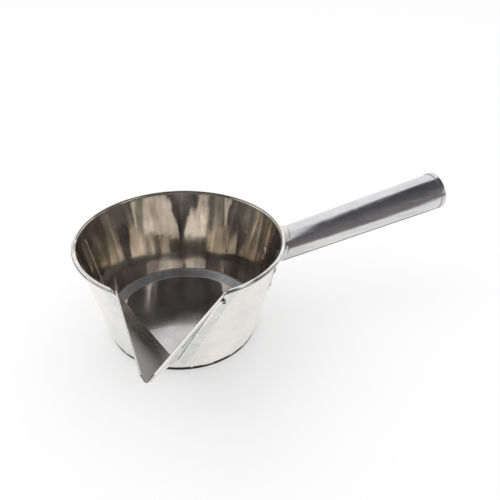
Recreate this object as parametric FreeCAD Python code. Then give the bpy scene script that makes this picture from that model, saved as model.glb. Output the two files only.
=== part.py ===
import FreeCAD, Part
import math
import os

# Pouring ladle in thin polished steel sheet, in millimetres.
# Origin: centre of the foot, on the plane it stands on. +Z is up, +X runs along the handle.

# Bowl
sheet = 0.5                  # thickness of the bowl, base and spout sheet
foot_radius = 59.5           # outside of the wall where it stands
rim_radius = 80.8            # outside of the rolled rim
rim_height = 80.0            # height of the rolled rim's centre
bead_diameter = 3.6          # outside of the rolled rim's tube
bead_turn = 300.0            # degrees that the rim is rolled through
joint_gap = 0.05             # play between two sheets that lie on each other
foot_hem_height = 4.5        # how far the wall's foot is folded up inside
foot_bend = 0.55             # outside radius of the folds that the ladle stands on

# Side seam of the rolled wall, a lap on the inside
seam_azimuth = 153.0
seam_width = 7.0
seam_ramp = 3.0              # stretch over which the inner layer runs out
seam_margin = 1.0            # stays this far from the base and the rolled rim

# Pressed base
floor_height = 7.0           # top of the flat floor above the foot's plane
floor_radius = 54.0          # edge of the flat floor, where the slope to the wall starts
slope_height = 12.2          # corner between slope and skirt, before its bend
floor_bend = 1.0             # inside radius at the edge of the floor
skirt_bend = 0.75            # outside radius from the slope to the skirt

# Spout, a folded V let into the wall
spout_azimuth = -110.3
notch_height = 11.5          # where the fold meets the wall
fold_rise = 38.7             # degrees from the horizontal
fold_length = 136.7          # from the wall to the tip
fold_half_angle = 36.0       # between each panel and the middle plane
fold_radius = 1.0            # inside radius of the fold
lip_setback = 2.0            # the hems end this far behind the tip, along the fold
lip_depth = 4.5              # depth of the channel at the end of the hems
hem_depth = 4.5              # how far the top edges are folded down outside
hem_gap = 0.2
hem_drop = 2.1               # where the hems meet the wall, below the rolled rim's top
flange_width = 8.5           # laps the outside of the wall
flange_start = 1.5           # clear of the fold
flange_top_gap = 2.0         # below the rolled rim
relief_width = 1.8           # clearance beside each panel at the rim
relief_height = 9.0          # from the rim's centre down

# Handle, a tapered tube with a lap underneath and a cap
handle_sheet = 0.8
handle_height = 57.3         # height of its axis at the rim radius
handle_tilt = 10.6           # degrees, rising outwards
handle_length = 155.5        # from the rim radius to the end of the cap
root_radius = 13.2           # outside of the tube at the rim radius
end_radius = 15.6            # outside of the tube at the cap
tube_lap_sheet = 0.5
tube_lap_width = 7.0
tube_lap_angle = 157.0       # degrees round from the top, towards the spout side
cap_sheet = 0.6
cap_skirt = 4.2              # how far the cap laps over the tube
cap_recess = 3.0             # depth of the cap's flat face
cap_bend = 0.8               # inside radius round the flat face
cap_play = 0.1

# Bracket between bowl and handle
bracket_sheet = 1.0
wing_half_width = 36.0
wing_height = 25.0
wing_middle = 50.0           # height of the wings' middle line
wing_corner = 7.0
pad_radius = 17.5            # round pad behind the handle's root
tab_sheet = 0.8
tab_reach = 13.0             # how far the tabs stand out from the wall
tab_foot = 2.5               # slots between the tabs stop this far from the wall
tab_play = 0.15
tab_slots = ((45.0, 65.0), (100.0, 150.0))   # degrees round from the top, on both sides

# Rivets
wing_rivet_angle = 25.0      # degrees to each side of the handle
wing_rivet_spacing = 13.0
wing_shank_radius = 1.7
wing_head_radius = 3.1
wing_head_height = 1.7
middle_rivet_height = 54.0
middle_shank_radius = 2.2
middle_head_radius = 3.4
middle_head_height = 1.9
tab_rivet_angle = 82.0       # degrees round from the top
tab_rivet_reach = 8.0        # distance from the wall
tab_shank_radius = 1.3
tab_head_radius = 2.5
tab_head_height = 1.4
spout_rivet_drop = 8.8       # below the rolled rim's centre
spout_rivet_side = 4.4       # distance from the panel
spout_shank_radius = 1.3
spout_bore_radius = 0.8
spout_head_radius = 2.1
spout_head_height = 0.9
rivet_play = 0.05
tail_share = 0.8             # inner heads, as a share of the outer ones

reach = 400.0                # longer than anything here, for cutting solids

up = FreeCAD.Vector(0, 0, 1)
side = FreeCAD.Vector(0, 1, 0)
origin = FreeCAD.Vector(0, 0, 0)

# Worked out from the sizes above
bead_radius = bead_diameter / 2
bead_centre_radius = rim_radius - bead_radius
centre_run = math.hypot(bead_centre_radius - foot_radius, rim_height)
wall_lean = (math.atan2(bead_centre_radius - foot_radius, rim_height)
             - math.asin((bead_radius - sheet) / centre_run))
hem_top = rim_height + bead_radius - hem_drop
bead_bottom = rim_height - bead_radius
spout_rivet_height = rim_height - spout_rivet_drop
clear_top = 1.5 * rim_height                         # above the bowl and the handle's root
tube_start = -rim_radius / 3                         # inside the bowl, where the wall cuts it off
tube_end = handle_length - cap_sheet - handle_sheet  # inside the cap's roll
fold_angle = math.radians(fold_rise)
half_angle = math.radians(fold_half_angle)
handle_lean = FreeCAD.Placement(FreeCAD.Vector(rim_radius, 0, handle_height),
                                FreeCAD.Rotation(side, -handle_tilt))


def wall_radius(z, offset=0.0):
    """Radius of the bowl's outside at a height, moved out by offset along its normal."""
    return foot_radius + z * math.tan(wall_lean) + offset / math.cos(wall_lean)


def wall_normal(azimuth):
    angle = math.radians(azimuth)
    level = math.cos(wall_lean)
    return FreeCAD.Vector(level * math.cos(angle), level * math.sin(angle), -math.sin(wall_lean))


def wall_point(azimuth, z, offset=0.0):
    """Point of the wall's outer face, moved out by offset along the wall's normal."""
    angle = math.radians(azimuth)
    radius = wall_radius(z)
    on_face = FreeCAD.Vector(radius * math.cos(angle), radius * math.sin(angle), z)
    return on_face + wall_normal(azimuth) * offset


def wall_frustum(offset, low, high):
    """Solid cone inside the wall's outer face moved out by offset."""
    return Part.makeCone(wall_radius(low, offset), wall_radius(high, offset), high - low,
                         FreeCAD.Vector(0, 0, low), up)


def wall_layer(inner, outer, low, high):
    """Conical layer between two offsets from the wall's outer face."""
    return wall_frustum(outer, low, high).cut(wall_frustum(inner, low, high))


def line_loop(points):
    return Part.Face(Part.makePolygon(points + points[:1]))


def flat_point(x, z):
    return FreeCAD.Vector(x, 0, z)


def bent_line(corners, radii):
    """Edges through corner points in the XZ plane, each inner corner rounded to its radius."""
    edges = []
    last = corners[0]
    for before, corner, after, radius in zip(corners, corners[1:], corners[2:], radii):
        back = (before - corner).normalize()
        ahead = (after - corner).normalize()
        half = back.getAngle(ahead) / 2
        first = corner + back * (radius / math.tan(half))
        second = corner + ahead * (radius / math.tan(half))
        middle = corner + (back + ahead).normalize() * (radius / math.sin(half) - radius)
        edges.append(Part.makeLine(last, first))
        edges.append(Part.Arc(first, middle, second).toShape())
        last = second
    edges.append(Part.makeLine(last, corners[-1]))
    return edges


def sheet_section(edges, thickness):
    """Section of a bent sheet whose one face follows the edges.

    The metal lies to the left of the way they run, or to the right if the thickness is negative.
    """
    return Part.Wire(edges).makeOffset2D(thickness, 0, True, True, False)


def turned(section):
    """Revolve a section in the XZ plane about the bowl's axis."""
    return section.revolve(origin, up, 360)


def one_solid(shape):
    return shape.removeSplitter()


def turn(shape, azimuth):
    moved = shape.copy()
    moved.rotate(origin, up, azimuth)
    return moved


def layer_radius(z, count):
    """Radius of the face that lies under count sheets and their gaps at the foot."""
    return wall_radius(z, -count * (sheet + joint_gap))


def seam_strip():
    """Second layer of the wall's lap, ending in a step on one side and a ramp on the other."""
    low = slope_height + seam_margin
    high = rim_height - seam_margin
    sections = []
    for z in (low, high):
        outer = wall_radius(z, -sheet / 2)
        inner = wall_radius(z, -2 * sheet)
        flat = math.degrees(seam_width / outer)
        ramp = math.degrees((seam_width + seam_ramp) / outer)
        corners = []
        for radius, angle in ((outer, 0), (outer, flat / 2), (outer, ramp), (inner, flat), (inner, flat / 2),
                              (inner, 0)):
            turned_by = math.radians(seam_azimuth + angle)
            corners.append(FreeCAD.Vector(radius * math.cos(turned_by), radius * math.sin(turned_by), z))
        a, b, c, d, e, f = corners
        sections.append(Part.Wire([
            Part.Arc(a, b, c).toShape(),
            Part.makeLine(c, d),
            Part.Arc(d, e, f).toShape(),
            Part.makeLine(f, a),
        ]))
    return Part.makeLoft(sections, True, True)


def spout_place(shape):
    """Move a shape from the fold's own frame (along, across, above) to the spout's half of the ladle."""
    placed = shape.copy()
    at_wall = FreeCAD.Vector(wall_radius(notch_height), 0, notch_height)
    lean = FreeCAD.Placement(at_wall, FreeCAD.Rotation(side, -fold_rise))
    placed.Placement = lean.multiply(placed.Placement)
    half = Part.makeBox(reach, 2 * reach, reach, FreeCAD.Vector(foot_radius / 2, -reach, 0))
    return turn(placed.common(half), spout_azimuth)


def panel_point(along, up_panel, out=0.0):
    """Point of the right panel: distance along the fold, up the panel and out of its inner face."""
    return FreeCAD.Vector(along,
                          up_panel * math.sin(half_angle) + out * math.cos(half_angle),
                          up_panel * math.cos(half_angle) - out * math.sin(half_angle))


def hem_line():
    """Ends of the hem's top line as (along, up the panel): at the rim and near the tip."""
    inner = wall_radius(hem_top, -sheet)
    foot = wall_radius(notch_height) + (hem_top - notch_height) / math.tan(fold_angle)
    a = 1 / math.sin(fold_angle) ** 2 + math.tan(half_angle) ** 2
    b = -2 * foot / math.sin(fold_angle)
    c = foot ** 2 - inner ** 2
    above = (-b - math.sqrt(b * b - 4 * a * c)) / (2 * a)
    along = (hem_top - notch_height - above * math.cos(fold_angle)) / math.sin(fold_angle)
    rim_end = (along, above / math.cos(half_angle))
    lip_end = (fold_length - lip_setback, lip_depth / math.cos(half_angle))
    return rim_end, lip_end


def fold_edges():
    """The folded sheet's inner face, seen along the fold, as (across, above) in the XZ plane."""
    height = reach / 2
    width = height * math.tan(half_angle)
    return bent_line([flat_point(-width, height), origin, flat_point(width, height)], [fold_radius])


def along_fold(section):
    """Stretch a section drawn as (across, above) in the XZ plane along the fold."""
    faced = turn(section, 90)
    faced.translate(FreeCAD.Vector(-reach / 2, 0, 0))
    return faced.extrude(FreeCAD.Vector(reach, 0, 0))


def channel():
    """Everything between the two panels, above the fold."""
    edges = fold_edges()
    first = edges[0].Vertexes[0].Point
    last = edges[-1].Vertexes[-1].Point
    return along_fold(Part.Face(Part.Wire(edges + [Part.makeLine(last, first)])))


def trough():
    """The folded sheet before its hems and flanges, trimmed to its outline from the side."""
    folded = along_fold(sheet_section(fold_edges(), -sheet))
    (rim_along, rim_up), (lip_along, lip_up) = hem_line()
    run = math.hypot(lip_along - rim_along, rim_up - lip_up)
    drop = sheet + hem_gap / 2
    back = ((rim_along - lip_along) / run, (rim_up - lip_up) / run)
    down = (-back[1] * drop, back[0] * drop)
    lip = (lip_along + down[0], (lip_up + down[1]) * math.cos(half_angle))
    rim = (lip[0] + back[0] * reach / 2, lip[1] + back[1] * math.cos(half_angle) * reach / 2)
    tip_slope = lip_setback / lip_depth
    below = 2 * (fold_radius + sheet)
    outline = [(rim[0], -below), (fold_length + tip_slope * below, -below), (fold_length, 0),
               (lip_along, lip_depth), lip, rim]
    side_view = line_loop([FreeCAD.Vector(along, -reach, above) for along, above in outline])
    return folded.common(side_view.extrude(FreeCAD.Vector(0, 2 * reach, 0)))


def hem():
    """Top edge of the right panel, folded over outwards."""
    (rim_along, rim_up), (lip_along, lip_up) = hem_line()
    lip = panel_point(lip_along, lip_up)
    rim = panel_point(rim_along, rim_up)
    along = (lip - rim).normalize()
    out = (panel_point(0, 0, 1) - panel_point(0, 0)).normalize()
    high = along.cross(out)
    if high.z < 0:
        high = high.negative()
    start = rim - along * (2 * bead_diameter)
    bend = sheet + hem_gap / 2
    edges = [
        Part.makeLine(flat_point(0, -hem_depth), flat_point(0, -bend)),
        Part.Arc(flat_point(0, -bend), flat_point(bend, 0), flat_point(2 * bend, -bend)).toShape(),
        Part.makeLine(flat_point(2 * bend, -bend), flat_point(2 * bend, -hem_depth)),
    ]
    section = sheet_section(edges, -sheet)
    section.Placement = FreeCAD.Placement(start, FreeCAD.Rotation(out, high.cross(out), high))
    return section.extrude(lip - start)


def strip_beside_panel(width, start):
    """Everything within width outside the right panel's inner face, from start up the panel."""
    face = line_loop([panel_point(-reach, start), panel_point(-reach, reach),
                      panel_point(-reach, reach, width), panel_point(-reach, start, width)])
    return face.extrude(FreeCAD.Vector(2 * reach, 0, 0))


def both_sides(shape):
    return shape.fuse(shape.mirror(origin, side))


def rim_relief():
    """Room beside both panels at the rim, where hem and rolled rim would meet."""
    low = rim_height - relief_height
    above = Part.makeBox(2 * reach, 2 * reach, reach, FreeCAD.Vector(-reach, -reach, low))
    return spout_place(both_sides(strip_beside_panel(relief_width, 0))).common(above)


def rivet_spot():
    """Azimuth of the spout's rivet, its given distance from the panel on the wall's face."""
    radius = wall_radius(spout_rivet_height)
    rise = (spout_rivet_height - notch_height) * math.cos(fold_angle)
    run = wall_radius(notch_height) * math.sin(fold_angle)
    across = radius * math.cos(half_angle)
    ahead = radius * math.sin(fold_angle) * math.sin(half_angle)
    wanted = spout_rivet_side + (rise + run) * math.sin(half_angle)
    angle = math.atan2(across, ahead) - math.acos(wanted / math.hypot(across, ahead))
    return spout_azimuth + math.degrees(angle)


def rod(point, direction, radius, below, above):
    """Round bar through a point, reaching below and above it along a direction."""
    return Part.makeCylinder(radius, below + above, point - direction * below, direction)


def dome(point, direction, radius, height):
    """Domed head standing on a point."""
    ball = (radius ** 2 + height ** 2) / (2 * height)
    sphere = Part.makeSphere(ball, point - direction * (ball - height))
    return sphere.common(rod(point, direction, radius, 0, 2 * height))


def hollow_seat(radius, hollow_radius):
    """How far a flat round face stays off the middle of a hollow face that it seats in."""
    return radius ** 2 / (2 * hollow_radius) + rivet_play


def wing_rivet_places():
    places = []
    for azimuth in (-wing_rivet_angle, wing_rivet_angle):
        for step in (-0.5, 0.5):
            places.append((azimuth, wing_middle + step * wing_rivet_spacing))
    return places


def wall_holes():
    """Rivet holes through the wall and what lies on it."""
    cuts = []
    depth = 4 * bracket_sheet
    for azimuth, z in wing_rivet_places():
        cuts.append(rod(wall_point(azimuth, z), wall_normal(azimuth), wing_shank_radius + rivet_play, depth, depth))
    cuts.append(rod(wall_point(0, middle_rivet_height), wall_normal(0), middle_shank_radius + rivet_play,
                    depth, depth))
    azimuth = rivet_spot()
    cuts.append(rod(wall_point(azimuth, spout_rivet_height), wall_normal(azimuth),
                    spout_shank_radius + rivet_play, depth, depth))
    return cuts


def bowl_wall():
    """Rolled sheet, from the edge folded up inside the foot to the rolled rim."""
    inner = bead_radius - sheet
    start = math.pi - wall_lean
    angles = (start, start - math.radians(bead_turn) / 2, start - math.radians(bead_turn))
    rim = [flat_point(bead_centre_radius + inner * math.cos(a), rim_height + inner * math.sin(a)) for a in angles]
    foot = [
        flat_point(layer_radius(foot_hem_height, 3), foot_hem_height),
        flat_point(layer_radius(0, 3), 0),
        flat_point(wall_radius(0), 0),
        rim[0],
    ]
    edges = bent_line(foot, [foot_bend, foot_bend]) + [Part.Arc(*rim).toShape()]
    shell = turned(sheet_section(edges, sheet)).fuse(seam_strip())
    return one_solid(shell.cut([spout_place(channel()), rim_relief()] + wall_holes()))


def base_disc():
    """Pressed floor with a sloped edge and a skirt held in the wall's folded foot."""
    low = sheet + joint_gap
    top = [
        flat_point(0, floor_height),
        flat_point(floor_radius, floor_height),
        flat_point(layer_radius(slope_height, 1), slope_height),
        flat_point(layer_radius(low, 1), low),
    ]
    return one_solid(turned(sheet_section(bent_line(top, [floor_bend, skirt_bend]), -sheet)))


def spout():
    panels = trough().fuse([hem(), hem().mirror(origin, side)])
    placed = spout_place(panels)
    neck = rim_height - relief_height + joint_gap
    outside = wall_frustum(joint_gap, 0, neck)
    mouth = wall_frustum(-sheet, neck, clear_top)
    placed = placed.cut([outside, mouth])
    flanges = spout_place(both_sides(strip_beside_panel(flange_width, flange_start)))
    layer = wall_layer(joint_gap, joint_gap + sheet, foot_hem_height, bead_bottom - flange_top_gap)
    flanges = flanges.common(layer).cut(rim_relief())
    whole = placed.fuse(flanges)
    return one_solid(whole.cut(wall_holes()))


def spout_rivet():
    """Hollow rivet through the top corner of the flange on the handle's side."""
    azimuth = rivet_spot()
    normal = wall_normal(azimuth)
    face = wall_point(azimuth, spout_rivet_height, joint_gap + sheet + rivet_play)
    tail_radius = tail_share * spout_head_radius
    grip = 2 * sheet + joint_gap + rivet_play + hollow_seat(tail_radius, foot_radius)
    inside = face - normal * grip
    head = dome(face, normal, spout_head_radius, spout_head_height)
    shank = rod(face, normal, spout_shank_radius, grip, 0)
    tail = dome(inside, normal.negative(), tail_radius, spout_head_height)
    bore = rod(face, normal, spout_bore_radius, 3 * grip, 2 * grip)
    return one_solid(head.fuse([shank, tail]).cut(bore))


def handle_place(shape):
    """Move a shape from the handle's own frame, along +X, to its place on the bowl."""
    placed = shape.copy()
    placed.Placement = handle_lean.multiply(placed.Placement)
    return placed


def tube_radius(along, offset=0.0):
    """Outside of the tube at a distance along the handle, moved out by offset."""
    return root_radius + (end_radius - root_radius) * along / tube_end + offset


def tube_frustum(offset, start, end):
    return Part.makeCone(tube_radius(start, offset), tube_radius(end, offset), end - start,
                         FreeCAD.Vector(start, 0, 0), FreeCAD.Vector(1, 0, 0))


def sector(first, last, start, end, radius):
    """Wedge about the handle's axis between two angles round from the top, towards the spout side."""
    wedge = Part.makeCylinder(radius, end - start, FreeCAD.Vector(start, 0, 0), FreeCAD.Vector(1, 0, 0),
                              last - first)
    probe = wedge.CenterOfMass
    found = math.degrees(math.atan2(-probe.y, probe.z))
    wedge.rotate(origin, FreeCAD.Vector(1, 0, 0), (first + last) / 2 - found)
    return wedge


def handle_tube():
    """Rolled tube, with the strip that its edges lap under, butted against the bracket."""
    lap_end = handle_length - cap_skirt - 2 * cap_play
    tube = tube_frustum(0, tube_start, tube_end).cut(tube_frustum(-handle_sheet, tube_start, tube_end))
    half = math.degrees(tube_lap_width / root_radius) / 2
    strip = tube_frustum(tube_lap_sheet, tube_start, lap_end)
    strip = strip.cut(tube_frustum(-handle_sheet / 2, tube_start, lap_end))
    strip = strip.common(sector(tube_lap_angle - half, tube_lap_angle + half, tube_start, lap_end, 2 * end_radius))
    strip = handle_place(strip).cut(wall_frustum(tab_reach + tab_sheet, 0, clear_top))
    seat = wall_frustum(bracket_sheet + 2 * joint_gap, 0, clear_top)
    return one_solid(handle_place(tube).fuse(strip).cut([seat] + tab_rivet_holes()))


def handle_cap():
    """Pressed cap, rolled over the tube's end, with its flat face set back inside."""
    skirt_out = tube_radius(tube_end, cap_play) + cap_sheet
    plug_in = tube_radius(tube_end, -handle_sheet - 2 * cap_play) - cap_sheet
    roll = (skirt_out - plug_in) / 2
    face = handle_length - cap_recess
    edges = [
        Part.makeLine(flat_point(handle_length - cap_skirt, skirt_out), flat_point(handle_length - roll, skirt_out)),
        Part.Arc(flat_point(handle_length - roll, skirt_out), flat_point(handle_length, plug_in + roll),
                 flat_point(handle_length - roll, plug_in)).toShape(),
    ]
    edges += bent_line([flat_point(handle_length - roll, plug_in), flat_point(face, plug_in), flat_point(face, 0)],
                       [cap_bend])
    section = sheet_section(edges, -cap_sheet)
    return handle_place(section.revolve(origin, FreeCAD.Vector(1, 0, 0), 360))


def tab_rivet_frames():
    """Seat and direction of the two rivets through the side tabs, in the ladle's frame."""
    frames = []
    outer = wall_radius(handle_height, tab_rivet_reach)
    along = (outer - rim_radius) / math.cos(math.radians(handle_tilt))
    for sign in (-1, 1):
        angle = math.radians(tab_rivet_angle)
        away = FreeCAD.Vector(0, sign * math.sin(angle), math.cos(angle))
        seat = FreeCAD.Vector(along, 0, 0) + away * tube_radius(along, tab_play + tab_sheet)
        frames.append((handle_lean.multVec(seat), handle_lean.Rotation.multVec(away)))
    return frames


def tab_rivet_holes():
    depth = 4 * tab_sheet
    return [rod(seat, away, tab_shank_radius + rivet_play, depth, depth) for seat, away in tab_rivet_frames()]


def handle_bracket():
    """Saddle plate on the wall with a slotted collar that grips the handle's root."""
    low = wing_middle - wing_height / 2
    wings = Part.makeBox(reach, 2 * wing_half_width, wing_height, FreeCAD.Vector(0, -wing_half_width, low))
    long_edges = [edge for edge in wings.Edges if edge.BoundBox.XLength > reach / 2]
    wings = wings.makeFillet(wing_corner, long_edges)
    root = wall_radius(handle_height)
    pad_height = handle_height - (rim_radius - root) * math.tan(math.radians(handle_tilt))
    pad = Part.makeCylinder(pad_radius, reach, FreeCAD.Vector(0, 0, pad_height), FreeCAD.Vector(1, 0, 0))
    high = pad_height + pad_radius
    plate = wall_layer(joint_gap, joint_gap + bracket_sheet, low - bracket_sheet, high + bracket_sheet)
    plate = plate.common(wings.fuse(pad))
    end = 3 * tab_reach
    sleeve = tube_frustum(tab_play + tab_sheet, tube_start, end).cut(tube_frustum(tab_play, tube_start, end))
    slots = []
    for first, last in tab_slots:
        slots.append(sector(first, last, tube_start, end, 2 * end_radius))
        slots.append(sector(-last, -first, tube_start, end, 2 * end_radius))
    slots = handle_place(slots[0].fuse(slots[1:])).cut(wall_frustum(tab_foot, 0, clear_top))
    collar = handle_place(sleeve).common(wall_frustum(tab_reach, 0, clear_top))
    collar = collar.cut([wall_frustum(joint_gap, 0, clear_top), slots])
    bracket = plate.fuse(collar)
    return one_solid(bracket.cut(wall_holes() + tab_rivet_holes()))


def bracket_rivets():
    """Domed outside, closed flush with the inside of the wall."""
    rivets = []
    for azimuth, z in wing_rivet_places():
        normal = wall_normal(azimuth)
        face = wall_point(azimuth, z, joint_gap + bracket_sheet + rivet_play)
        grip = sheet + joint_gap + bracket_sheet + rivet_play
        head = dome(face, normal, wing_head_radius, wing_head_height)
        rivets.append(one_solid(head.fuse(rod(face, normal, wing_shank_radius, grip, 0))))
    return Part.makeCompound(rivets)


def middle_rivet():
    """Rivet behind the handle's root, with a domed head inside the bowl."""
    normal = wall_normal(0)
    head_seat = hollow_seat(middle_head_radius, foot_radius)
    inside = wall_point(0, middle_rivet_height, -sheet - head_seat)
    grip = head_seat + sheet + joint_gap + bracket_sheet + rivet_play
    head = dome(inside, normal.negative(), middle_head_radius, middle_head_height)
    shank = rod(inside, normal, middle_shank_radius, 0, grip)
    tail = rod(inside + normal * grip, normal, middle_head_radius, 0, middle_head_height / 2)
    return one_solid(head.fuse([shank, tail]))


def tab_rivets():
    rivets = []
    for seat, away in tab_rivet_frames():
        face = seat + away * rivet_play
        tail_radius = tail_share * tab_head_radius
        grip = rivet_play + tab_sheet + tab_play + handle_sheet + hollow_seat(tail_radius, root_radius - handle_sheet)
        head = dome(face, away, tab_head_radius, tab_head_height)
        shank = rod(face, away, tab_shank_radius, grip, 0)
        tail = rod(face - away * grip, away, tail_radius, tab_head_height / 2, 0)
        rivets.append(one_solid(head.fuse([shank, tail])))
    return Part.makeCompound(rivets)


nodes = {
    "bowl_wall": bowl_wall,
    "base_disc": base_disc,
    "spout": spout,
    "spout_rivet": spout_rivet,
    "handle_bracket": handle_bracket,
    "bracket_rivets": bracket_rivets,
    "middle_rivet": middle_rivet,
    "handle_tube": handle_tube,
    "tab_rivets": tab_rivets,
    "handle_cap": handle_cap,
}

os.makedirs("parts", exist_ok=True)
for name, make in nodes.items():
    shape = make()
    shape.exportStep("parts/" + name + ".step")
    print(name, len(shape.Solids), round(shape.Volume, 1), shape.isValid())
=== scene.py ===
import math

import bmesh
import bpy
import numpy as np
from mathutils import Euler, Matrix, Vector


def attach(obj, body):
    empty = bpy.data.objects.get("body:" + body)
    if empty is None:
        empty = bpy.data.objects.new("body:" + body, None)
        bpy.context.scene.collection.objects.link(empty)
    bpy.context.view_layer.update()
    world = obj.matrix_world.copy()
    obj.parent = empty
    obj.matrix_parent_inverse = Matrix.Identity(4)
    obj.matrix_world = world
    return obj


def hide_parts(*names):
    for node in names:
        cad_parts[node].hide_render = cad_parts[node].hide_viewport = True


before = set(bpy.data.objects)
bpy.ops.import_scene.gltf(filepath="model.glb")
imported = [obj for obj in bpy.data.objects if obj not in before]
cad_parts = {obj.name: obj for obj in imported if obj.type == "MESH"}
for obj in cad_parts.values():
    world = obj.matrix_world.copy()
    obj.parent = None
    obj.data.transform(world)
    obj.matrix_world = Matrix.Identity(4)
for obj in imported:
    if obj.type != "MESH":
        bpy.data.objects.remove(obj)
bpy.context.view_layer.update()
print("frame loaded:", sorted(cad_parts))

# Every length below is in millimetres until a mesh is made
metre = 0.001
meshPlan = {"weld": 2e-7, "crease": 38.0}                 # metres, degrees

bowl = {
    "sheet": 0.5, "gap": 0.05,
    "footRadius": 59.5, "rimRadius": 80.8, "rimHeight": 80.0, "beadRadius": 1.8, "beadTurn": 300.0,
    "hemHeight": 4.5, "footBend": 0.55, "footLine": 3.5,
    "squeeze": 60.0, "seamAt": 264.9,                     # degrees round from the spout
    "seamColumns": (-0.5, -0.36, -0.24, -0.12, 0, 0.12, 0.24, 0.36, 0.5, 5.4, 7.8), "solderSpread": 0.5,
    "seamWidth": 7.0, "seamRamp": 3.0, "seamLow": 13.2, "seamHigh": 73.0, "solder": 0.50, "bareRows": (6, 4),
    "solderRipple": (0.25, 0.9, 1.2, 0.31),               # share, wave along it, drift and the drift's wave
    "columns": 360, "wallRows": 46, "beadSteps": 26, "fadeIn": 25.0, "fadeOut": 12.0,
    # Waves round the wall: depth, how many round, where they start, how far a millimetre of height turns them
    "longWaves": ((0.20, 2, 0.6, 0), (0.12, 3, 2.1, 0), (0.05, 5, 0.4, 0)),
    "shortWaves": ((0.085, 9, 0.9, 0), (0.070, 13, 1.7, 0.02), (0.042, 21, 0.3, -0.03), (0.022, 34, 2.0, 0),
                   (0.010, 55, 1.1, 0.05)),
    # Lines on the rolled rim, later over earlier: degrees round from the spout, degrees of roll, finish. The
    # near-black and grey lines are painted shade under and round the roll.
    "rimLines": ((0, 360, 92, 360, "rimSteel"), (0, 30, 48, 92, "rimSteel"), (60, 275, 48, 92, "rimSteel"),
                 (0, 360, 138, 160, "slopeAndShadeSteel"), (275, 326, 118, 132, "shadeAndMarkSteel"),
                 (275, 326, 132, 176, "slopeAndShadeSteel"), (275, 326, 176, 360, "shadeAndMarkSteel"),
                 (0, 360, 210, 360, "shadeAndMarkSteel"), (62, 275, 26, 50, "shadeAndMarkSteel")),
    "finishes": ("outsideSteel", "insideSteel", "edgeSteel", "shadeAndMarkSteel", "rimSteel", "slopeAndShadeSteel"),
}
spoutPlan = {
    "azimuth": -110.3, "notch": 11.5, "rise": 38.7, "length": 136.7, "half": 36.0, "bend": 1.0,
    "setback": 2.0, "lipDepth": 4.5, "hemDepth": 4.5, "hemGap": 0.2, "hemDrop": 2.1,
    "flange": 8.5, "flangeStart": 1.5, "flangeTop": 76.2, "relief": 1.8, "neck": 71.0, "neckStep": 0.02,
    "columns": 90, "bow": 0.55, "dent": 0.16, "dentWaves": (9, 2.5), "dentStart": {1: 1.0, -1: 2.4},
    # The hem's outer leaf: its rows, then what it gains in depth and how far it stands off, from wall to lip
    "leafRows": (0.18, 0.36, 0.54, 0.70, 0.84, 1.0), "leafWide": 2.6, "leafFlare": 0.45,
    "leafGrowth": ((0, 0.05, 0.22, 0.45, 0.7, 0.95, 1), (-0.4, -0.55, -0.32, 0.42, 1, 0.4, 0.3)),
    "leafStand": ((0, 0.12, 0.36, 0.45, 0.58, 0.66, 0.8, 1), (0.3, 0.5, 0.9, 1.3, 1.2, 0.7, 0.45, 0.4)),
    # leafDark: share of the length where the leaf's edge is painted near-black as shade; hemLine: rows of the
    # hem's fold painted grey as shade
    "leafDark": (0.34, 0.64), "hemLine": {1: (1, 3), -1: (4, 6)},    # share of the length, rows on each side
    # flangeDark: heights between which the flange's edge by the panel is painted near-black as shade in the
    # joint's gap
    "flangeDark": (14, 67), "flangeRagged": (2, 5),       # heights, then numbers of columns
    "marks": ((96.1, 9.7), (84.0, 5.6)), "markDome": (0.75, 0.165, 0.6, 0.3),
    # A near-black patch of painted shadow on the wall by the spout's rivet, where the hem's open end meets
    # the flange: azimuth and height, then its dome and stretch
    "darkPatch": (-83.0, 73.0), "darkPatchDome": (0.9, 0.12, 0.7, 0.3), "darkPatchStretch": 1.2,
    "finishes": ("outsideSteel", "channelSteel", "edgeSteel", "shadeAndMarkSteel", "flangeSteel"),
}

rimBeadCentre = bowl["rimRadius"] - bowl["beadRadius"]
slant = math.hypot(rimBeadCentre - bowl["footRadius"], bowl["rimHeight"])
lean = (math.atan2(rimBeadCentre - bowl["footRadius"], bowl["rimHeight"])
        - math.asin((bowl["beadRadius"] - bowl["sheet"]) / slant))
rise = math.radians(spoutPlan["rise"])
half = math.radians(spoutPlan["half"])
spoutTurn = math.radians(spoutPlan["azimuth"])
noise = np.random.default_rng(7)


# Distance from the axis to the cone's outside at height z, moved out along its normal by offset.
def coneRadius(z, offset=0.0):
    return bowl["footRadius"] + z * math.tan(lean) + offset / math.cos(lean)


atNotch = coneRadius(spoutPlan["notch"])


# Sum of waves round the axis: depth times the sine of count x angle + start + twist x height.
def waveSum(waves, angle, z):
    return sum(depth * np.sin(count * angle + start + twist * z) for depth, count, start, twist in waves)


# The wall's out-of-round: long waves that grow from foot to rim, and short ones that fade out below the
# rim.
def wallWave(angle, z):
    grow = np.clip(z / bowl["rimHeight"], 0, 1)
    fade = np.clip(z / bowl["fadeIn"], 0, 1) * np.clip((bowl["rimHeight"] - z) / bowl["fadeOut"], 0.15, 1)
    return grow * waveSum(bowl["longWaves"], angle, z) + fade * waveSum(bowl["shortWaves"], angle, z)


# Angle from the spout's middle at which a point of radius r and height z lies `out` outside a panel's
# inner face: the panel's plane turned into one sine wave of that angle, and solved for it.
def panelAngle(r, z, out):
    across = r * math.cos(half)
    ahead = r * math.sin(rise) * math.sin(half)
    wanted = out + ((z - spoutPlan["notch"]) * math.cos(rise) + atNotch * math.sin(rise)) * math.sin(half)
    reachable = np.clip(wanted / np.hypot(across, ahead), -1, 1)
    return np.maximum(np.arctan2(across, ahead) - np.arccos(reachable), 0)


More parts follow.
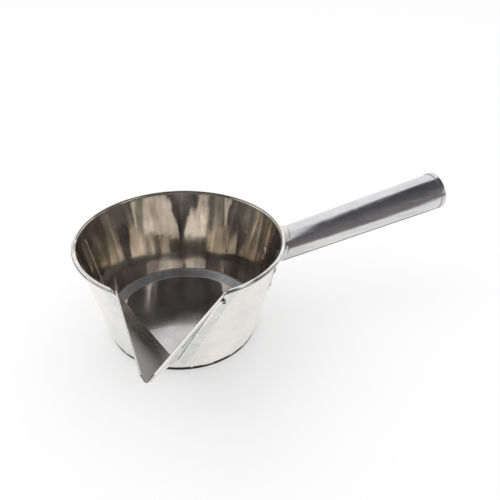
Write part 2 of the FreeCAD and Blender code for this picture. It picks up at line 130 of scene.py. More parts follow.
# A bent sheet's section: straight runs between corners, each corner an arc. Gives points and left-hand
# normals.
def bentSection(corners, radii, straightSteps, arcSteps=5):
    points, normals = [], []
    last = np.array(corners[0], float)
    for index, radius in enumerate(radii):
        before, corner, after = (np.array(c, float) for c in corners[index:index + 3])
        back = (before - corner) / np.linalg.norm(before - corner)
        ahead = (after - corner) / np.linalg.norm(after - corner)
        halfAngle = math.acos(np.clip(back @ ahead, -1, 1)) / 2
        first = corner + back * radius / math.tan(halfAngle)
        share = np.linspace(0, 1, straightSteps[index] + 1)[:, None]
        points.append(last + (first - last) * share)
        normals.append(np.repeat([[back[1], -back[0]]], len(share), 0))
        centre = corner + (back + ahead) / np.linalg.norm(back + ahead) * radius / math.sin(halfAngle)
        turns = np.sign(back[0] * ahead[1] - back[1] * ahead[0])
        start = math.atan2(*(first - centre)[::-1])
        sweep = -turns * (math.pi - 2 * halfAngle) * np.linspace(0, 1, arcSteps + 1)[1:]
        spoke = np.stack([np.cos(start + sweep), np.sin(start + sweep)], 1)
        points.append(centre + radius * spoke)
        normals.append(turns * spoke)
        last = points[-1][-1]
    end = np.array(corners[-1], float)
    share = np.linspace(0, 1, straightSteps[-1] + 1)[1:, None]
    direction = (end - last) / np.linalg.norm(end - last)
    points.append(last + (end - last) * share)
    normals.append(np.repeat([[-direction[1], direction[0]]], len(share), 0))
    return np.concatenate(points), np.concatenate(normals)


# Quads of a grid of points (rows, columns), by the points' numbers.
def gridQuads(grid):
    return np.stack([grid[:-1, :-1], grid[1:, :-1], grid[1:, 1:], grid[:-1, 1:]], -1).reshape(-1, 4)


def gridNumbers(rows, columns):
    return np.arange(rows * columns).reshape(rows, columns)


# Faces of a closed sheet between two grids: kind 0 is the first side, 1 the second, and 2 a strip along
# an open edge. Both column ends get a strip, and those row ends that are asked for, less what endMask
# leaves out.
def sheetFaces(rows, columns, rowEnds=("first", "last"), endMask=slice(None)):
    grid = gridNumbers(rows, columns)

    def strip(line, flip):
        under = line + rows * columns
        faces = np.stack([line[:-1], under[:-1], under[1:], line[1:]], -1)
        return faces[:, ::-1] if flip else faces

    parts = [gridQuads(grid), gridQuads(grid + rows * columns)[:, ::-1],
             strip(grid[:, 0], False), strip(grid[:, -1], True)]
    for end, line, flip in (("first", grid[0], True), ("last", grid[-1], False)):
        if end in rowEnds:
            parts.append(strip(line, flip)[endMask])
    kinds = np.concatenate([np.full(len(part), min(index, 2)) for index, part in enumerate(parts)])
    return np.concatenate(parts), kinds


# Material number of every face of piece s, from the finishes of its sheet's first side, second side and
# edges.
def sheetSlots(kinds, s, first, second, edges):
    return np.array([s["finishes"].index(name) for name in (first, second, edges)])[kinds]


# Gives the chosen cells of one side of the sheet (0 or 1) another finish.
def paint(slots, side, chosen, s, name):
    slots[side * len(chosen):(side + 1) * len(chosen)][chosen] = s["finishes"].index(name)


# Points round the ladle's axis, by radius, angle and height.
def roundAxis(radius, angle, z):
    return np.stack([radius * np.cos(angle), radius * np.sin(angle), z + 0 * angle], -1)


# Puts point grids into one mesh, welds what coincides, turns the faces outwards and shades it smooth up
# to the crease angle.
def makePiece(name, shells, finishes, crease=meshPlan["crease"]):
    points, faces, slots = [], [], []
    count = 0
    for shellPoints, shellFaces, shellSlots in shells:
        points.append(np.asarray(shellPoints, float).reshape(-1, 3) * metre)
        faces.append(shellFaces + count)
        slots.append(shellSlots)
        count += len(points[-1])
    mesh = bpy.data.meshes.new(name)
    mesh.from_pydata(np.concatenate(points).tolist(), [], np.concatenate(faces).tolist())
    for finish in finishes:
        mesh.materials.append(steels[finish])
    mesh.polygons.foreach_set("material_index", np.concatenate(slots).astype(np.int32))
    edit = bmesh.new()
    edit.from_mesh(mesh)
    bmesh.ops.remove_doubles(edit, verts=edit.verts, dist=meshPlan["weld"])
    bmesh.ops.dissolve_degenerate(edit, edges=edit.edges, dist=meshPlan["weld"])
    bmesh.ops.recalc_face_normals(edit, faces=edit.faces)
    edit.to_mesh(mesh)
    edit.free()
    mesh.shade_smooth()
    mesh.set_sharp_from_angle(angle=math.radians(crease))
    piece = bpy.data.objects.new(name, mesh)
    bpy.context.scene.collection.objects.link(piece)
    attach(piece, "root")
    return piece


# Finishes
def nodeTree(name):
    material = bpy.data.materials.new(name)
    material.use_nodes = True
    material.node_tree.nodes.clear()
    return material, material.node_tree


# A node and its sockets: a number or colour is set on the socket, and a list of (node, output) is linked
# to it. Gives such a list for the node's own output.
def addNode(tree, kind, output, sockets=None, operation=None):
    node = tree.nodes.new("ShaderNode" + kind)
    if operation:
        node.operation = operation
    for socket, value in (sockets or {}).items():
        if isinstance(value, list):
            tree.links.new(value[0].outputs[value[1]], node.inputs[socket])
        else:
            node.inputs[socket].default_value = value
    return [node, output]


def addMath(tree, operation, *values):
    return addNode(tree, "Math", "Value", dict(enumerate(values)), operation)


# A colour ramp over a linked value, through stops of (position, colour).
def addRamp(tree, value, stops):
    ramp = addNode(tree, "ValToRGB", "Color", {"Fac": value})
    elements = ramp[0].color_ramp.elements
    for position, colour in stops[1:-1]:
        elements.new(position)
    for element, (position, colour) in zip(elements, stops):
        element.position = position
        element.color = (*colour, 1)
    return ramp


def addSurface(tree, shader):
    addNode(tree, "OutputMaterial", None, {"Surface": shader})


steelPlan = {
    "streakDetail": 5.0, "streakRoughness": 0.65, "cloudDetail": 4.0, "tintFrom": 0.36, "tintTo": 0.64,
    "roughFrom": 0.3, "roughTo": 0.7, "hazeScale": 2600.0, "streakDepth": 0.00005, "swellDepth": 0.0006,
}


# Rolled or drawn steel: mix = half a soft cloud + half fine streaks along one direction, colour = dark to
# light by the mix, roughness = its range by the mix, bump = the streaks, then the cloud as a long shallow
# swell.
# haze (share, more): roughness + more wherever a very fine noise passes the share, as on a scoured face.
# duller (axis, from, to, wave, more, less, colour): far = place along the axis + wave x cloud, run from 0
# to 1; roughness + more x far, metallic 1 - less x far, colour turned towards the dull one by far.
def steel(name, s):
    plan = steelPlan
    material, tree = nodeTree(name)
    coords = addNode(tree, "TexCoord", "Object")
    stretch = addNode(tree, "Mapping", "Vector", {"Vector": coords, "Scale": s["streakScale"]})
    streak = addNode(tree, "TexNoise", "Fac", {
        "Vector": stretch, "Scale": 1.0, "Detail": plan["streakDetail"],
        "Roughness": plan["streakRoughness"]})
    cloud = addNode(tree, "TexNoise", "Fac", {
        "Vector": coords, "Scale": s["cloudScale"], "Detail": plan["cloudDetail"]})
    mix = addMath(tree, "MULTIPLY_ADD", cloud, 0.5, addMath(tree, "MULTIPLY", streak, 0.5))
    colour = addRamp(tree, mix, ((plan["tintFrom"], s["dark"]), (plan["tintTo"], s["light"])))
    roughness = addNode(tree, "MapRange", "Result", {
        "Value": mix, "From Min": plan["roughFrom"], "From Max": plan["roughTo"],
        "To Min": s["rough"][0], "To Max": s["rough"][1]})
    metallic = s.get("metal", 1.0)
    if "haze" in s:
        share, more = s["haze"]
        grain = addNode(tree, "TexNoise", "Fac",
                        {"Vector": coords, "Scale": plan["hazeScale"], "Detail": 0.0})
        specks = addMath(tree, "GREATER_THAN", grain, share)
        roughness = addMath(tree, "MULTIPLY_ADD", specks, more, roughness)
    if "duller" in s:
        axis, start, end, wave, more, less, dull = s["duller"]
        place = addNode(tree, "SeparateXYZ", axis, {"Vector": coords})
        wavy = addMath(tree, "MULTIPLY_ADD", cloud, wave, place)
        far = addNode(tree, "MapRange", "Result", {"Value": wavy, "From Min": start, "From Max": end})
        roughness = addMath(tree, "MULTIPLY_ADD", far, more, roughness)
        metallic = addMath(tree, "MULTIPLY_ADD", far, -less, 1.0)
        paler = tree.nodes.new("ShaderNodeMix")
        paler.data_type = "RGBA"
        paler.inputs["B"].default_value = (*dull, 1)
        tree.links.new(far[0].outputs["Result"], paler.inputs["Factor"])
        tree.links.new(colour[0].outputs["Color"], paler.inputs["A"])
        colour = [paler, "Result"]
    lines = addNode(tree, "Bump", "Normal", {
        "Height": streak, "Strength": s["streakBump"], "Distance": plan["streakDepth"]})
    swell = addNode(tree, "Bump", "Normal", {
        "Height": cloud, "Strength": s["swellBump"], "Distance": plan["swellDepth"], "Normal": lines})
    addSurface(tree, addNode(tree, "BsdfPrincipled", "BSDF", {
        "Base Color": colour, "Roughness": roughness, "Metallic": metallic, "Normal": swell}))
    return material


finishPlan = {
    "outsideSteel": {
        "dark": (0.81, 0.83, 0.84), "light": (1.0, 0.97, 0.93), "rough": (0.16, 0.30),
        "streakScale": (45, 45, 90), "cloudScale": 30, "streakBump": 0.10, "swellBump": 0.18},
    # Painted reflection: the bowl's inside is warm brown to cream in strong vertical streaks, darker than the
    # outside of the same sheet, standing in for brown surroundings mirrored in it
    "insideSteel": {
        "dark": (0.43, 0.385, 0.335), "light": (0.93, 0.865, 0.78), "rough": (0.05, 0.11), "metal": 0.97,
        "streakScale": (120, 120, 5), "cloudScale": 26, "streakBump": 0.38, "swellBump": 0.42},
    "floorSteel": {
        "dark": (0.44, 0.43, 0.435), "light": (0.68, 0.655, 0.66), "rough": (0.05, 0.11),
        "streakScale": (26, 26, 26), "cloudScale": 13, "streakBump": 0.05, "swellBump": 0.12,
        "haze": (0.45, 0.09)},
    # Dark grey steel of the floor's slope ring; also painted shade, as grey bands on the rim's roll and a
    # ring on the handle by the tabs
    "slopeAndShadeSteel": {
        "dark": (0.26, 0.265, 0.27), "light": (0.46, 0.46, 0.46), "rough": (0.28, 0.44),
        "streakScale": (300, 300, 60), "cloudScale": 55, "streakBump": 0.45, "swellBump": 0.35},
    # Painted shade: the spout's inside is darker than its outside; towards the tip it turns rougher, less
    # metallic and paler, painted lighter there
    "channelSteel": {
        "dark": (0.42, 0.415, 0.405), "light": (0.58, 0.57, 0.56), "rough": (0.20, 0.32),
        "streakScale": (60, 60, 60), "cloudScale": 26, "streakBump": 0.03, "swellBump": 0.30,
        "duller": ("Y", -0.076, -0.112, 0.03, 0.34, 0.34, (0.50, 0.485, 0.47))},
    "handleSteel": {
        "dark": (0.62, 0.62, 0.63), "light": (0.78, 0.78, 0.79), "rough": (0.15, 0.27),
        "streakScale": (12, 420, 420), "cloudScale": 26, "streakBump": 0.22, "swellBump": 0.25},
    "rivetSteel": {
        "dark": (0.60, 0.60, 0.60), "light": (0.84, 0.84, 0.83), "rough": (0.18, 0.32),
        "streakScale": (500, 500, 500), "cloudScale": 200, "streakBump": 0.25, "swellBump": 0.25},
    "edgeSteel": {
        "dark": (0.62, 0.62, 0.61), "light": (0.80, 0.80, 0.79), "rough": (0.28, 0.42),
        "streakScale": (700, 700, 700), "cloudScale": 60, "streakBump": 0.30, "swellBump": 0.20},
    # Painted shade: near-black steel for the dark lines and hollows where shade falls, and for the two dark
    # marks on the spout
    "shadeAndMarkSteel": {
        "dark": (0.010, 0.009, 0.008), "light": (0.040, 0.038, 0.036), "rough": (0.40, 0.60),
        "streakScale": (300, 300, 300), "cloudScale": 90, "streakBump": 0.30, "swellBump": 0.20},
    "saddleSteel": {
        "dark": (0.74, 0.70, 0.66), "light": (0.92, 0.88, 0.84), "rough": (0.32, 0.48), "metal": 0.62,
        "streakScale": (160, 160, 160), "cloudScale": 45, "streakBump": 0.30, "swellBump": 0.45},
    "flangeSteel": {
        "dark": (0.70, 0.72, 0.725), "light": (0.85, 0.865, 0.86), "rough": (0.18, 0.32),
        "streakScale": (120, 120, 120), "cloudScale": 60, "streakBump": 0.20, "swellBump": 0.30},
    "rimSteel": {
        "dark": (0.70, 0.70, 0.69), "light": (0.84, 0.84, 0.83), "rough": (0.06, 0.13),
        "streakScale": (90, 90, 90), "cloudScale": 40, "streakBump": 0.05, "swellBump": 0.15},
}
steels = {name: steel(name, settings) for name, settings in finishPlan.items()}
print("finishes made")


# The wall's section, from the fold inside the foot up to the roll of the rim, with two rows at the neck
# where the notch widens and one at the top of the foot's line of painted shade. Gives points, normals and
# the first row on the wall.
def wallSection():
    s = bowl
    layers = 3 * (s["sheet"] + s["gap"])
    startAngle = math.pi - lean
    inner = s["beadRadius"] - s["sheet"]
    rimStart = (rimBeadCentre + inner * math.cos(startAngle), s["rimHeight"] + inner * math.sin(startAngle))
    corners = [(coneRadius(s["hemHeight"], -layers), s["hemHeight"]), (coneRadius(0.0, -layers), 0.0),
               (s["footRadius"], 0.0), rimStart]
    points, normals = bentSection(corners, [s["footBend"]] * 2, [4, 1, s["wallRows"]])
    sweep = startAngle - np.radians(s["beadTurn"]) * np.linspace(0, 1, s["beadSteps"] + 1)[1:]
    spoke = np.stack([np.cos(sweep), np.sin(sweep)], 1)
    points = np.concatenate([points, np.array([rimBeadCentre, s["rimHeight"]]) + inner * spoke])
    normals = np.concatenate([normals, spoke])
    neck, step = spoutPlan["neck"], spoutPlan["neckStep"]
    onWall = (points[:, 1] > 1) & (normals[:, 0] < -0.9)
    foot = int(np.argmax(onWall))
    cut = int(np.argmax(onWall & (points[:, 1] > neck)))
    level = normals[cut]
    for row, z in ((cut, neck + step), (cut, neck - step), (foot, s["footLine"])):
        points = np.insert(points, row, (coneRadius(z), z), 0)
        normals = np.insert(normals, row, level, 0)
    return points, normals, foot


# The wall: its section carried round the axis, radius = cone + waves. Columns stay on meridians, and
# those nearest the spout are squeezed so that the last one lies on the notch's edge. A second layer forms
# the side seam, and solder along its edge is a squared cosine across, uneven along.
def wallSheet():
    s = bowl
    points, normals, foot = wallSection()
    base = np.arange(s["columns"] + 1) * 360.0 / s["columns"]
    seam = s["seamAt"]
    base = np.unique(np.concatenate([base, seam + np.array(s["seamColumns"])]))
    zone = s["squeeze"]
    grids = []
    for side in (0, 1):
        at = points + normals * s["sheet"] * side
        r, z = at[:, 0], at[:, 1]
        edge = np.degrees(panelAngle(r, z, np.where(z > spoutPlan["neck"], spoutPlan["relief"], 0.0)))
        edge = np.where(z < spoutPlan["notch"], 0.0, edge)
        local = np.repeat(base[:, None], len(r), 1)
        near = local < zone
        far = local > 360 - zone
        local = np.where(near, edge + (zone - edge) * local / zone, local)
        local = np.where(far, 360 - edge - (zone - edge) * (360 - local) / zone, local)
        angle = np.radians(local) + spoutTurn
        radius = r + wallWave(angle, z)
        if side:
            flat = np.degrees(s["seamWidth"] / coneRadius(z))
            ramp = np.degrees(s["seamRamp"] / coneRadius(z))
            layer = np.clip((seam + flat + ramp - local) / ramp, 0, 1) * (local >= seam)
            ridge = np.cos(np.clip((local - seam) / s["solderSpread"], -1, 1) * math.pi / 2) ** 2
            share, fast, drift, slow = s["solderRipple"]
            ridge = ridge * (1 - share + share * np.sin(fast * z + drift * np.sin(slow * z)))
            tall = (z > s["seamLow"]) & (z < s["seamHigh"]) & (normals[:, 0] < -0.9)
            radius = radius - (layer * s["sheet"] + ridge * s["solder"]) * tall
        grids.append(roundAxis(radius, angle, z))
    notched = (panelAngle(points[:, 0], points[:, 1], 0.0) > 1e-6) & (points[:, 1] > spoutPlan["notch"])
    faces, kinds = sheetFaces(len(base), len(points), endMask=notched[:-1] | notched[1:])
    slots = sheetSlots(kinds, s, "outsideSteel", "insideSteel", "edgeSteel")
    rows = np.tile(np.arange(len(points) - 1), len(base) - 1)
    beadFrom = len(points) - 1 - s["beadSteps"]
    bead = rows >= beadFrom
    turned = (rows - beadFrom) / s["beadSteps"] * s["beadTurn"]
    around = np.repeat((base[:-1] + base[1:]) / 2, len(points) - 1)
    # Painted shade: the hollow inside the rolled rim is near-black
    paint(slots, 0, bead, s, "shadeAndMarkSteel")
    # Painted shade: near-black and grey lines round the roll, as listed in rimLines
    for first, last, low, high, finish in s["rimLines"]:
        line = bead & (around > first) & (around < last) & (turned > low) & (turned < high)
        paint(slots, 1, line, s, finish)
    atSeam = np.repeat(np.abs(base[:-1] - seam + 0.05) < 0.35, len(points) - 1)
    soldered = atSeam & (rows > foot + s["bareRows"][0]) & (rows < beadFrom - s["bareRows"][1])
    paint(slots, 1, soldered, s, "edgeSteel")
    paint(slots, 0, soldered, s, "outsideSteel")
    # Painted shade: the foot's lowest rows are near-black on both faces, for the contact shadow where the
    # foot meets the floor
    footCells = np.maximum(points[:-1, 1], points[1:, 1])[rows] < s["footLine"] + 0.01
    for side in (0, 1):
        paint(slots, side, footCells, s, "shadeAndMarkSteel")
    piece = makePiece("wallSheet", [(np.stack(grids), faces, slots)], s["finishes"])
    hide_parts("bowl_wall")


floorPlan = {
    "height": 7.0, "radius": 54.0, "slopeTop": 12.2, "bend": 1.0, "skirtBend": 0.75,
    "columns": 180, "rows": 22, "dish": 0.35, "uneven": 0.10,
    "finishes": ("floorSteel", "slopeAndShadeSteel", "outsideSteel"),
}


# The floor: a bent section turned about the axis. Its middle sinks by dish x (1 - share of the radius
# squared) squared and is a little uneven, by a wave twice round.
def floorSheet():
    s = floorPlan
    inside = -(bowl["sheet"] + bowl["gap"])
    corners = [(0.001, s["height"]), (s["radius"], s["height"]),
               (coneRadius(s["slopeTop"], inside), s["slopeTop"]), (coneRadius(-inside, inside), -inside)]
    points, normals = bentSection(corners, [s["bend"], s["skirtBend"]], [s["rows"], 6, 6])
    angle = np.radians(np.linspace(0, 360, s["columns"] + 1))[:, None]
    grids = []
    for side in (0, 1):
        at = points - normals * bowl["sheet"] * side
        r, z = np.maximum(at[:, 0], 0)[None], at[:, 1][None]
        inner = np.clip(1 - (r / s["radius"]) ** 2, 0, 1)
        uneven = s["uneven"] * np.sin(2 * angle + 0.8) * np.sin(math.pi * r / s["radius"])
        height = z - s["dish"] * inner ** 2 + inner * uneven
        grids.append(roundAxis(r, angle, height))
    faces, kinds = sheetFaces(len(angle), len(points), rowEnds=())
    slots = sheetSlots(kinds, s, "floorSteel", "outsideSteel", "outsideSteel")
    rows = np.tile(np.arange(len(points) - 1), len(angle) - 1)
    paint(slots, 0, rows >= s["rows"] + 3, s, "slopeAndShadeSteel")
    piece = makePiece("floorSheet", [(np.stack(grids), faces, slots)], s["finishes"])
    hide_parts("base_disc")


# A point of the fold's own frame (along, across, above), leaned by the rise, with the spout along +X.
def foldLeaned(along, across, above):
    x = atNotch + along * math.cos(rise) - above * math.sin(rise)
    z = spoutPlan["notch"] + along * math.sin(rise) + above * math.cos(rise)
    return x, across, z


# The same point in the ladle's frame: turned about the axis to the spout's azimuth.
def foldToLadle(along, across, above):
    x, y, z = foldLeaned(along, across, above)
    return np.stack([x * math.cos(spoutTurn) - y * math.sin(spoutTurn),
                     x * math.sin(spoutTurn) + y * math.cos(spoutTurn), z], -1)


# A panel's points (along, up) at a distance out of it, as if it ran straight down to the fold's line.
def foldPoint(pair, out):
    along, up = pair[:, 0], pair[:, 1]
    across = up * math.sin(half) + out * math.cos(half)
    return np.stack(foldLeaned(along, across, up * math.cos(half) - out * math.sin(half)), -1)


# A panel's section from distance up it and out of it: straight beyond the fold, an arc of the bend's
# radius inside.
def foldSection(up, out):
    bend = spoutPlan["bend"]
    flat = bend / math.tan(half)
    turned = (math.pi / 2 - half) * np.clip(up / flat, 0, 1)
    across = np.where(up >= flat, up * math.sin(half) + out * math.cos(half), (bend + out) * np.sin(turned))
    above = np.where(up >= flat, up * math.cos(half) - out * math.sin(half),
                     bend / math.sin(half) - (bend + out) * np.cos(turned))
    return across, above


# How far along a line the cone is met: the root of the line's squared radius less the cone's.
def reachCone(start, direction, offset):
    (x0, y0, z0), (dx, dy, dz) = start, direction
    t = math.tan(lean)
    r0 = coneRadius(z0, offset)
    a = dx * dx + dy * dy - (t * dz) ** 2
    b = 2 * (x0 * dx + y0 * dy - r0 * t * dz)
    c = x0 * x0 + y0 * y0 - r0 * r0
    return (-b - np.sqrt(np.maximum(b * b - 4 * a * c, 0))) / (2 * a)


# Ends of the hem's top line, as (along the fold, up the panel): where it meets the rim inside, and at the
# lip.
def hemEnds():
    s = spoutPlan
    top = bowl["rimHeight"] + bowl["beadRadius"] - s["hemDrop"]
    inner = coneRadius(top, -bowl["sheet"])
    foot = atNotch + (top - s["notch"]) / math.tan(rise)
    a = 1 / math.sin(rise) ** 2 + math.tan(half) ** 2
    b = -2 * foot / math.sin(rise)
    c = foot ** 2 - inner ** 2
    above = (-b - math.sqrt(b * b - 4 * a * c)) / (2 * a)
    along = (top - s["notch"] - above * math.cos(rise)) / math.sin(rise)
    lip = (s["length"] - s["setback"], s["lipDepth"] / math.cos(half))
    return np.array([along, above / math.cos(half)]), np.array(lip)


# One panel of the spout: lines fan out from the tip's edge to the wall, from the fold up to the hem's
# bend and down its leaf, and each line's length is solved on the cone. The panel bows out by a sine each
# way and has soft dents, both nought along its edges. The leaf stands off by the square of its depth,
# rippled along.
def panelShell(mirror):
    s = spoutPlan
    sheet = bowl["sheet"]
    rimEnd, lipEnd = hemEnds()
    back = (rimEnd - lipEnd) / np.linalg.norm(rimEnd - lipEnd)
    down = np.array([-back[1], back[0]])
    drop = sheet + s["hemGap"] / 2
    lines = np.concatenate([np.linspace(0, 0.06, 13), np.linspace(0.08, 1, 24)])
    tip, level = np.array([s["length"], 0.0]), np.array([-1.0, 0.0])
    start = tip + (lipEnd + down * drop - tip) * lines[:, None]
    heading = level + (back - level) * lines[:, None]
    turn = np.linspace(0, math.pi, 13)[1:]
    leaf = np.array(s["leafRows"])
    share = np.linspace(0, 1, s["columns"] + 1)
    climb = np.concatenate([lines, np.ones(len(turn) + len(leaf))])[:, None]
    onLeaf = np.concatenate([np.zeros(len(lines) + len(turn)), leaf])[:, None]
    bow = s["bow"] * np.sin(math.pi * share) ** 1.5 * np.sin(math.pi * climb) ** 1.2
    dent = s["dent"] * np.sin(s["dentWaves"][0] * share + s["dentWaves"][1] * climb + s["dentStart"][mirror])
    dent = dent * np.sin(math.pi * share) * np.sin(math.pi * climb)
    wider = (np.interp(share, *s["leafGrowth"]) * s["leafWide"])[None]
    ripple = 0.8 + 0.2 * np.sin(11 * share + mirror) + 0.10 * np.sin(31 * share)
    standing = s["leafFlare"] if mirror < 0 else np.interp(share, *s["leafStand"])
    stand = standing * onLeaf ** 2 * ripple * np.clip(share / 0.04, 0, 1)
    grids = []
    for side, radius in ((0, drop), (1, s["hemGap"] / 2)):
        out = np.concatenate([np.full(len(lines), side * sheet), drop - radius * np.cos(turn),
                              np.full(len(leaf), drop + radius)])
        lower = np.concatenate([drop - radius * np.sin(turn), drop + (s["hemDepth"] - drop) * leaf])
        origin = np.concatenate([start, lipEnd + down * lower[:, None]])
        direction = np.concatenate([heading, np.repeat(back[None], len(lower), 0)])
        begin = foldPoint(origin, out)
        vector = foldPoint(origin + direction, out) - begin
        wallZ = (begin + vector * reachCone(begin.T, vector.T, 0.0)[:, None])[:, 2]
        length = reachCone(begin.T, vector.T, np.where(wallZ > s["neck"], -sheet, bowl["gap"]))
        along = origin[:, None, :] + direction[:, None, :] * (length[:, None] * (1 - share))[..., None]
        along = along + (onLeaf * wider)[..., None] * down
        across, above = foldSection(along[..., 1], out[:, None] + bow + dent + stand)
        grids.append(foldToLadle(along[..., 0], across * mirror, above))
    faces, kinds = sheetFaces(*grids[0].shape[:2], rowEnds=("last",))
    slots = sheetSlots(kinds, s, "channelSteel", "outsideSteel", "edgeSteel")
    # Painted shade: the leaf's lower edge is near-black, for the dark crease under the leaf
    slots[-s["columns"]:] = s["finishes"].index("shadeAndMarkSteel")          # the leaf's lower edge
    rows = np.repeat(np.arange(len(climb) - 1), s["columns"])
    place = np.tile((share[:-1] + share[1:]) / 2, len(climb) - 1)
    hemFrom = len(lines) - 1
    first, last = s["hemLine"][mirror]
    paint(slots, 0, rows >= hemFrom, s, "outsideSteel")
    if mirror > 0:
        paint(slots, 0, rows >= hemFrom + len(turn), s, "flangeSteel")
    # Painted shade: a few rows of the hem's fold take the darker channel finish, a grey line along the hem
    paint(slots, 0, (rows >= hemFrom + first) & (rows <= hemFrom + last), s, "channelSteel")
    # Painted shade: a stretch of the leaf's last row, both faces, near-black as a dark crease line
    if mirror > 0:
        dark = (rows == rows.max()) & (place > s["leafDark"][0]) & (place < s["leafDark"][1])
        for side in (0, 1):
            paint(slots, side, dark, s, "shadeAndMarkSteel")
    return np.stack(grids), faces, slots


# A flange: lies on the cone, its rows from the fold up to the rim and its columns from the panel
# outwards. Its outer columns blend into the wall along a ragged line.
def flangeShell(mirror):
    s = spoutPlan
    sheet, gap = bowl["sheet"], bowl["gap"]
    share = np.concatenate([[0, 0.055, 0.105], np.linspace(0.17, 1, 14)])
    beyond = 60.0                                         # along the fold, clear of the wall
    lowPair = np.stack([np.full(len(share), beyond), np.full(len(share), s["flangeStart"])], -1)
    start = foldPoint(lowPair, share * s["flange"])
    heading = np.array([-math.cos(rise), 0.0, -math.sin(rise)])
    length = reachCone(start.T, heading[:, None] * np.ones(len(share)), gap)
    lowZ = start[:, 2] + heading[2] * length
    climb = np.linspace(0, 1, 41)
    zBelow = lowZ + (s["neck"] - lowZ) * climb[:, None]
    toTop = (s["flangeTop"] - s["neck"]) * np.linspace(0, 1, 5)[:, None] * np.ones(len(share))
    z = np.concatenate([zBelow, s["neck"] + s["neckStep"] + toTop])
    wide, narrow = share * s["flange"], s["relief"] + share * (s["flange"] - s["relief"])
    out = np.concatenate([np.repeat(wide[None], len(climb), 0), np.repeat(narrow[None], len(toTop), 0)])
    grids = []
    for offset in (gap + sheet, gap):
        radius = coneRadius(z, offset)
        angle = spoutTurn + mirror * panelAngle(radius, z, out)
        grids.append(roundAxis(radius + wallWave(angle, z), angle, z))
    faces, kinds = sheetFaces(*z.shape)
    slots = sheetSlots(kinds, s, "flangeSteel", "flangeSteel", "flangeSteel")
    low = z[:-1, :-1].ravel()
    dark = (low > s["flangeDark"][0]) & (low < s["flangeDark"][1])
    column = np.tile(np.arange(z.shape[1] - 1), z.shape[0] - 1)
    # Painted shade: the two columns next to the panel, near-black between those heights, for the dark gap at
    # the joint
    paint(slots, 0, dark & (column < 2), s, "shadeAndMarkSteel")
    ragged = np.repeat(noise.integers(*s["flangeRagged"], z.shape[0] - 1), z.shape[1] - 1)
    paint(slots, 0, column > z.shape[1] - 1 - ragged, s, "outsideSteel")
    paint(slots, 0, (column > 1) & (column < 5) & (ragged > 2), s, "outsideSteel")
    return np.stack(grids), faces, slots


# The spout: two panels that share the fold, their flanges, two dark marks outside and a patch of
# painted shadow by the rivet.
def spoutSheet():
    s = spoutPlan
    sheet = bowl["sheet"]
    shells = [shell(mirror) for mirror in (1, -1) for shell in (panelShell, flangeShell)]
    darkPatch = s["finishes"].index("shadeAndMarkSteel")
    outward = foldToLadle(0, math.cos(half), -math.sin(half)) - foldToLadle(0, 0, 0)
    for along, up in s["marks"]:
        spot = foldToLadle(along, up * math.sin(half) + sheet * math.cos(half),
                           up * math.cos(half) - sheet * math.sin(half))
        points, faces, rows = turnedShell(domeSection(*s["markDome"]), spot, outward, 20, 0.2)
        shells.append((points, faces, np.full_like(rows, darkPatch)))
    # Painted shadow: a near-black patch on the wall by the rivet, stretched up the wall
    spot, normal = wallSpot(*s["darkPatch"], 0.60)
    points, faces, rows = turnedShell(domeSection(*s["darkPatchDome"]), spot, normal, 24, 0.45)
    upWall = np.array([*normal[:2] * math.tan(lean), math.cos(lean)])
    points = points + s["darkPatchStretch"] * ((points - spot) @ upWall)[..., None] * upWall
    shells.append((points, faces, np.full_like(rows, darkPatch)))
    piece = makePiece("spoutSheet", shells, s["finishes"])
    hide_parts("spout")


grip = {
    "sheet": 0.8, "height": 57.3, "tilt": 10.6, "length": 155.5, "rootRadius": 13.2, "endRadius": 15.6,
    "tubeEnd": 154.1, "seat": 1.1, "columns": 144, "rows": 110,
    "lapSheet": 0.5, "lapWidth": 7.0, "lapAt": 157.0, "lapFrom": 13.5, "lapTo": 151.0, "lapRamp": 0.6,
    "tabLine": (0.0848, 0.0905),                          # share of the length that the tabs' shade takes
    "oval": ((0.10, 2, 0.5, 2.2), (0.03, 3, 0.0, 7)),     # depth, count round, start, twist along
    "smoothFrom": (0.06, 0.05), "smoothTo": (0.97, 0.04),  # share of the length, and what it takes to fade
    # Shallow dents: share of the length, turn round from the top, depth, spread along, spread round
    "dents": ((0.30, 0.9, 0.16, 0.03, 0.5), (0.47, -0.3, 0.10, 0.012, 0.9), (0.62, 0.5, 0.14, 0.05, 0.7),
              (0.80, -0.8, 0.12, 0.04, 0.5), (0.20, -0.4, 0.12, 0.03, 0.45), (0.86, 0.9, 0.10, 0.03, 0.4)),
    "finishes": ("handleSteel", "edgeSteel", "slopeAndShadeSteel"),
}
gripTilt = math.radians(grip["tilt"])


# A point of the handle's own frame (along it, towards the spout side, up) in the ladle's frame.
def gripToLadle(along, aside, up):
    x = bowl["rimRadius"] + along * math.cos(gripTilt) - up * math.sin(gripTilt)
    z = grip["height"] + along * math.sin(gripTilt) + up * math.cos(gripTilt)
    return np.stack([x, -aside, z], -1)


# Points round the handle: grids of place along it and radius, over a column of angles from its top.
def roundGrip(along, radius, angle):
    return gripToLadle(along, radius * np.sin(angle), radius * np.cos(angle))


# Radius of the tube's outside: straight taper from the rim to the cap.
def gripRadius(along, offset=0.0):
    return grip["rootRadius"] + (grip["endRadius"] - grip["rootRadius"]) * along / grip["tubeEnd"] + offset


# How far along the handle a line beside its axis leaves the cone moved out by offset.
def gripFromWall(angle, radius, offset):
    beyond = 150.0                                        # the lines run back from here
    start = roundGrip(np.full_like(angle, beyond), radius, angle)
    heading = np.array([-math.cos(gripTilt), 0.0, -math.sin(gripTilt)])
    return beyond - reachCone(start.T, heading[:, None] * np.ones(len(angle)), offset)


